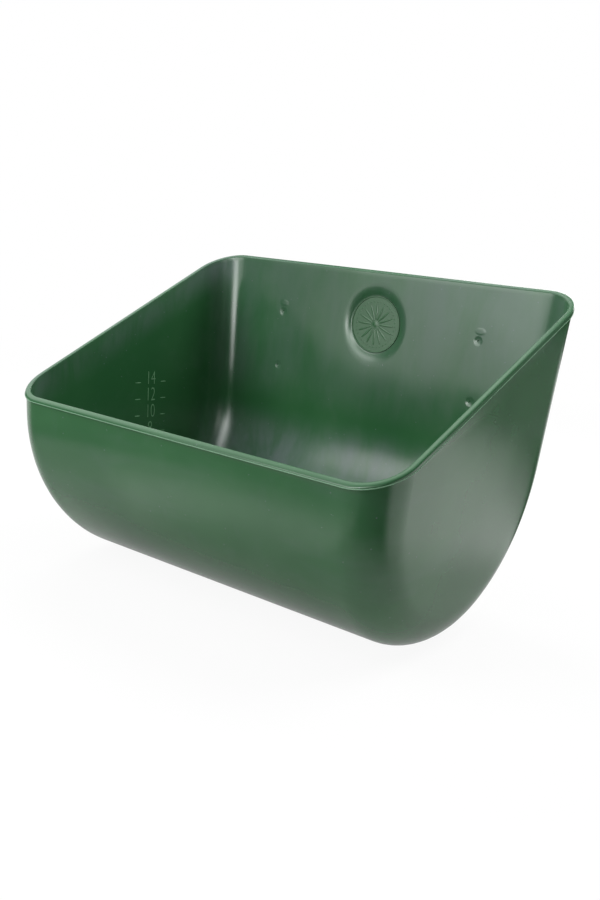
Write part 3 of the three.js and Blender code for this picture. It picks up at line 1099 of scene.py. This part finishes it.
class MANGER_OT_stage(bpy.types.Operator):
    """Makes the pale floor, the soft studio light and the camera at the photograph's angle"""

    bl_idname = "manger.stage"
    bl_label = "Stage"

    def execute(self, context):
        context.scene.view_settings.view_transform = "Standard"
        self.camera(context.scene)
        self.floor()
        self.world(context.scene)
        self.lamps()
        self.room()
        return {"FINISHED"}

    def camera(self, scene):
        data = bpy.data.cameras.new("camera")
        data.sensor_width = CAMERA_SENSOR
        data.lens = CAMERA_FOCAL_PX / PHOTO_HEIGHT_PX * CAMERA_SENSOR
        data.clip_start = 0.01
        camera = placed("camera", data)
        aim = Matrix.Rotation(CAMERA_AZIMUTH, 4, "Z")
        aim = aim @ Matrix.Rotation(math.pi / 2 - CAMERA_ELEVATION, 4, "X")
        camera.matrix_world = Matrix.Translation(CAMERA_PLACE) @ aim @ Matrix.Rotation(CAMERA_ROLL, 4, "Z")
        scene.camera = camera

    def floor(self):
        """A pale floor that shows white to the camera, with the manger's shadow near it."""
        z = CAD_LOW.z - FLOOR_DROP
        corners = [(x * FLOOR_HALF, y * FLOOR_HALF, z) for x, y in ((-1, -1), (1, -1), (1, 1), (-1, 1))]
        mesh = plain_mesh("floor", corners, faces=[(0, 1, 2, 3)])
        floor = placed("floor", mesh)
        material, graph = new_material("pale_floor")
        place = {"Vector": graph.object_place()}
        distance_out = graph.wire("ShaderNodeVectorMath", place, output=1, operation="LENGTH")
        far = graph.ramp(distance_out, *NEAR_REACH)
        share = graph.background_rays() * (NEAR_WHITE + far * (1 - NEAR_WHITE))
        matt = graph.wire("ShaderNodeBsdfDiffuse", {"Color": FLOOR_COLOUR})
        shaders = {"Fac": share, "Shader": matt, "Shader_001": graph.glow(1.0)}
        graph.node("ShaderNodeOutputMaterial", {"Surface": graph.wire("ShaderNodeMixShader", shaders)})
        mesh.materials.append(material)

    def world(self, scene):
        world = bpy.data.worlds.new("studio")
        world.use_nodes = True
        graph = Graph(world.node_tree)
        strength = AMBIENT + graph.background_rays() * (1 - AMBIENT)
        light = graph.wire("ShaderNodeBackground", {"Color": WHITE, "Strength": strength})
        graph.node("ShaderNodeOutputWorld", {"Surface": light})
        scene.world = world

    def lamps(self):
        for name, azimuth, elevation, reach, width, brightness in SOFTBOXES:
            data = bpy.data.lights.new(name, "AREA")
            data.shape = "SQUARE"
            data.size = width
            data.energy = brightness * math.pi * width**2
            lamp = placed(name, data)
            lamp.visible_camera = False
            lamp.visible_glossy = False
            place = on_dome(azimuth, elevation, reach)
            turn = (STAGE_CENTRE - place).to_track_quat("-Z", "Y").to_matrix().to_4x4()
            lamp.matrix_world = Matrix.Translation(place) @ turn

    def room(self):
        """A studio room seen in gloss only: a lit table, bright panels all round, and dark between them."""
        floor = CAD_LOW.z + TABLE_RISE
        reaches, heights = zip(*((reach, floor if z is None else z) for reach, z in ROOM_CORNERS))
        section = list(zip(graded(reaches, ROOM_CELLS), graded(heights, ROOM_CELLS)))
        section.append((reaches[-1], heights[-1]))
        points, glow = [], []
        for reach, height in section:
            lift = math.degrees(math.atan2(height - STAGE_CENTRE.z, reach))
            for turn in spread(0, 360, ROOM_TURNS):
                way = math.radians(turn)
                x, y = STAGE_CENTRE.x + reach * math.cos(way), STAGE_CENTRE.y + reach * math.sin(way)
                points.append((x, y, height))
                if height == floor:
                    glow.append(lit(TABLE_GLOW, TABLE_PARTS, TABLE_EDGES, turn, reach))
                else:
                    glow.append(lit(WALL_GLOW, WALL_PARTS, WALL_EDGES, turn, lift))
        faces = []
        for row in range(0, len(points) - ROOM_TURNS, ROOM_TURNS):
            for k in range(ROOM_TURNS):
                low, next_low = row + k, row + (k + 1) % ROOM_TURNS
                faces.append((low, next_low, next_low + ROOM_TURNS, low + ROOM_TURNS))
        mesh = plain_mesh("room", points, faces=faces)
        paint(mesh, "glow", glow)
        room = placed("room", mesh)
        material, graph = new_material("room")
        material.cycles.emission_sampling = "NONE"
        graph.node("ShaderNodeOutputMaterial", {"Surface": graph.glow(graph.attribute("glow"))})
        mesh.materials.append(material)
        room.visible_camera = False
        room.visible_diffuse = False
        room.visible_shadow = False
        room.visible_transmission = False


class MANGER_OT_tub(bpy.types.Operator):
    """Makes the tub: walls, round bottom, rolled corners, beaded rim, dishes, marks, boss and pads"""

    bl_idname = "manger.tub"
    bl_label = "Tub"

    def execute(self, context):
        scene = context.scene
        low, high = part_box(DISC_NODE)
        thickness = high.y - low.y - scene.manger_medallion.relief
        skin = TubSkin(TubShape(scene.manger_tub), scene.manger_dishes, (high.x - low.x) / 2, thickness)
        skin.build()
        material = plastic("tub_plastic", scene.manger_looks, 1.0)
        tub = piece("tub", skin.mesh("tub"), material)
        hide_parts(TUB_NODE)
        self.flash(skin, scene.manger_tub, material)
        return {"FINISHED"}

    def flash(self, skin, sizes, material):
        front = min(point.y for point in skin.flash_line)
        values = {"Thickness": sizes.flash_proud, "Step": FLASH_STEP, "Front": front}
        line = closed_line("rim_flash", skin.flash_line)
        mesh = made_by_nodes("rim_flash", line, flash_nodes, values, material)
        paint(mesh, "flash", np.ones(len(mesh.vertices)))
        mesh.shade_smooth()
        piece("rim_flash", mesh)


class MANGER_OT_medallion(bpy.types.Operator):
    """Makes the round medallion with its raised ring, its border of dots and its rosette"""

    bl_idname = "manger.medallion"
    bl_label = "Medallion"

    def execute(self, context):
        scene = context.scene
        sizes = scene.manger_medallion
        low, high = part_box(DISC_NODE)
        radius = (high.x - low.x) / 2
        face = low.y + sizes.relief
        centre = Vector(((low.x + high.x) / 2, 0, (low.z + high.z) / 2))
        material = plastic("medallion_plastic", scene.manger_looks, 0.5)
        mesh = self.disc(sizes, radius, low.y, face, high.y, centre)
        disc = piece("medallion", mesh, material)
        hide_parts(DISC_NODE)

        outward = Matrix.Translation((centre.x, face, centre.z)) @ Matrix.Rotation(math.pi / 2, 4, "X")
        dot = sizes.dot_radius
        for name, count, ring_radius, long, wide, relief_share in (
            ("medallion_dots", sizes.dots, radius * 0.80, dot, dot, 0.35),
            ("medallion_petals", sizes.petals, radius * 0.44, radius * 0.30, radius * 0.035, 0.5),
        ):
            values = {"Count": count, "Ring radius": ring_radius, "Long": long, "Wide": wide}
            values["Relief"] = sizes.relief * relief_share
            mesh = made_by_nodes(name, plain_mesh(name, []), ring_nodes, values, material)
            mesh.transform(outward)
            mesh.shade_smooth()
            piece(name, mesh)
        return {"FINISHED"}

    def disc(self, sizes, radius, top, face, back, centre):
        """The coin, from its back round its edge to its flat face, with a small hub in the middle."""
        edge = MEDALLION_EDGE
        ring = radius - sizes.ring_width
        hub = radius * HUB_SHARE
        profile = [(radius - edge, back), (radius, back - edge), (radius, top + edge), (radius - edge, top)]
        profile += [(ring, top), (ring - 2 * edge, face)]
        profile += [(radius * share, face) for share in FACE_SHARES]
        profile += [(hub * across, face - edge * up) for across, up in HUB_STEP_SHARES]
        # A share of 0.25 gives the coin a quarter of the inner haze and painted sheen.
        return turned_mesh("medallion", profile, centre, inside=0.25)


class MANGER_OT_litre_scale(bpy.types.Operator):
    """Makes the raised litre scale inside the left wall: plain numbers with a tick on each side"""

    bl_idname = "manger.litre_scale"
    bl_label = "Litre scale"

    def execute(self, context):
        scene = context.scene
        sizes = scene.manger_scale
        shape = TubShape(scene.manger_tub)
        material = bpy.data.materials["tub_plastic"]
        tub = bpy.data.objects["tub"].data
        marks = range(sizes.top_litres, 0, -sizes.litre_step)
        levels = {litres: litre_level(tub, litres) for litres in marks}

        lean = math.atan(shape.draft)
        upright = Matrix(((0, 0, 1, 0), (1, 0, 0, 0), (0, 1, 0, 0), (0, 0, 0, 1)))
        lay = Matrix.Rotation(-lean, 4, "Y") @ upright
        numbers = bmesh.new()
        for litres, level in levels.items():
            place = self.on_wall(shape, -sizes.column, level + NUMBER_LIFT * sizes.digit_height)
            digits = self.number(str(litres), sizes)
            digits.transform(Matrix.Translation(place) @ lay)
            numbers.from_mesh(digits)
        mesh = bpy.data.meshes.new("litre_numbers")
        numbers.to_mesh(mesh)
        numbers.free()
        piece("litre_numbers", finished(mesh), material)

        points = []
        for level in levels.values():
            for side in (-1, 1):
                place = self.on_wall(shape, -sizes.column + side * sizes.tick_offset, level)
                points.append(lay.inverted() @ place)
        values = {"Length": sizes.tick_length, "Width": sizes.tick_width, "Relief": 2 * sizes.digit_relief}
        carrier = plain_mesh("litre_ticks", points)
        ticks = made_by_nodes("litre_ticks", carrier, tick_nodes, values, material)
        ticks.transform(lay)
        ticks.shade_smooth()
        piece("litre_ticks", ticks)
        return {"FINISHED"}

    def on_wall(self, shape, y, z):
        """The point of the left wall's inner face at this depth and height."""
        return Vector((shape.side_x(-1, z - shape.origin.z, shape.sizes.wall), y, z))

    def number(self, text, sizes):
        """A number as a mesh with its middle at the origin, lying in X and Y and raised along Z."""
        curve = bpy.data.curves.new("number", "FONT")
        curve.body = text
        curve.align_x = "CENTER"
        curve.align_y = "CENTER"
        curve.size = sizes.digit_height / FONT_SHARE
        curve.extrude = sizes.digit_relief
        curve.bevel_depth = NUMBER_BEVEL
        curve.offset = -NUMBER_THINNING
        curve.resolution_u = 8
        mesh = final_mesh(placed("number", curve))
        mesh.transform(Matrix.Diagonal((sizes.digit_narrowing, 1, 1, 1)))
        return mesh


class MANGER_PT_panel(bpy.types.Panel):
    """Lists the manger's pieces in the sidebar"""

    bl_label = "Feed manger"
    bl_idname = "MANGER_PT_panel"
    bl_space_type = "VIEW_3D"
    bl_region_type = "UI"
    bl_category = "Manger"

    def draw(self, context):
        for maker in OPERATORS:
            self.layout.operator(maker.bl_idname)
        for group in PROPERTY_GROUPS:
            box = self.layout.box()
            for name in PROPERTY_GROUPS[group].__annotations__:
                box.prop(getattr(context.scene, group), name)


OPERATORS = (MANGER_OT_stage, MANGER_OT_tub, MANGER_OT_medallion, MANGER_OT_litre_scale)
PROPERTY_GROUPS = {
    "manger_tub": MangerTubSizes,
    "manger_dishes": MangerDishSizes,
    "manger_medallion": MangerMedallionSizes,
    "manger_scale": MangerScaleSizes,
    "manger_looks": MangerLooks,
}


def register():
    for made in (*PROPERTY_GROUPS.values(), *OPERATORS, MANGER_PT_panel):
        bpy.utils.register_class(made)
    for name, group in PROPERTY_GROUPS.items():
        setattr(bpy.types.Scene, name, PointerProperty(type=group))


def unregister():
    for name in PROPERTY_GROUPS:
        delattr(bpy.types.Scene, name)
    for made in (MANGER_PT_panel, *reversed(OPERATORS), *reversed(PROPERTY_GROUPS.values())):
        bpy.utils.unregister_class(made)


def main():
    register()
    bpy.ops.manger.stage()
    bpy.ops.manger.tub()
    bpy.ops.manger.medallion()
    bpy.ops.manger.litre_scale()


if __name__ == "__main__":
    main()
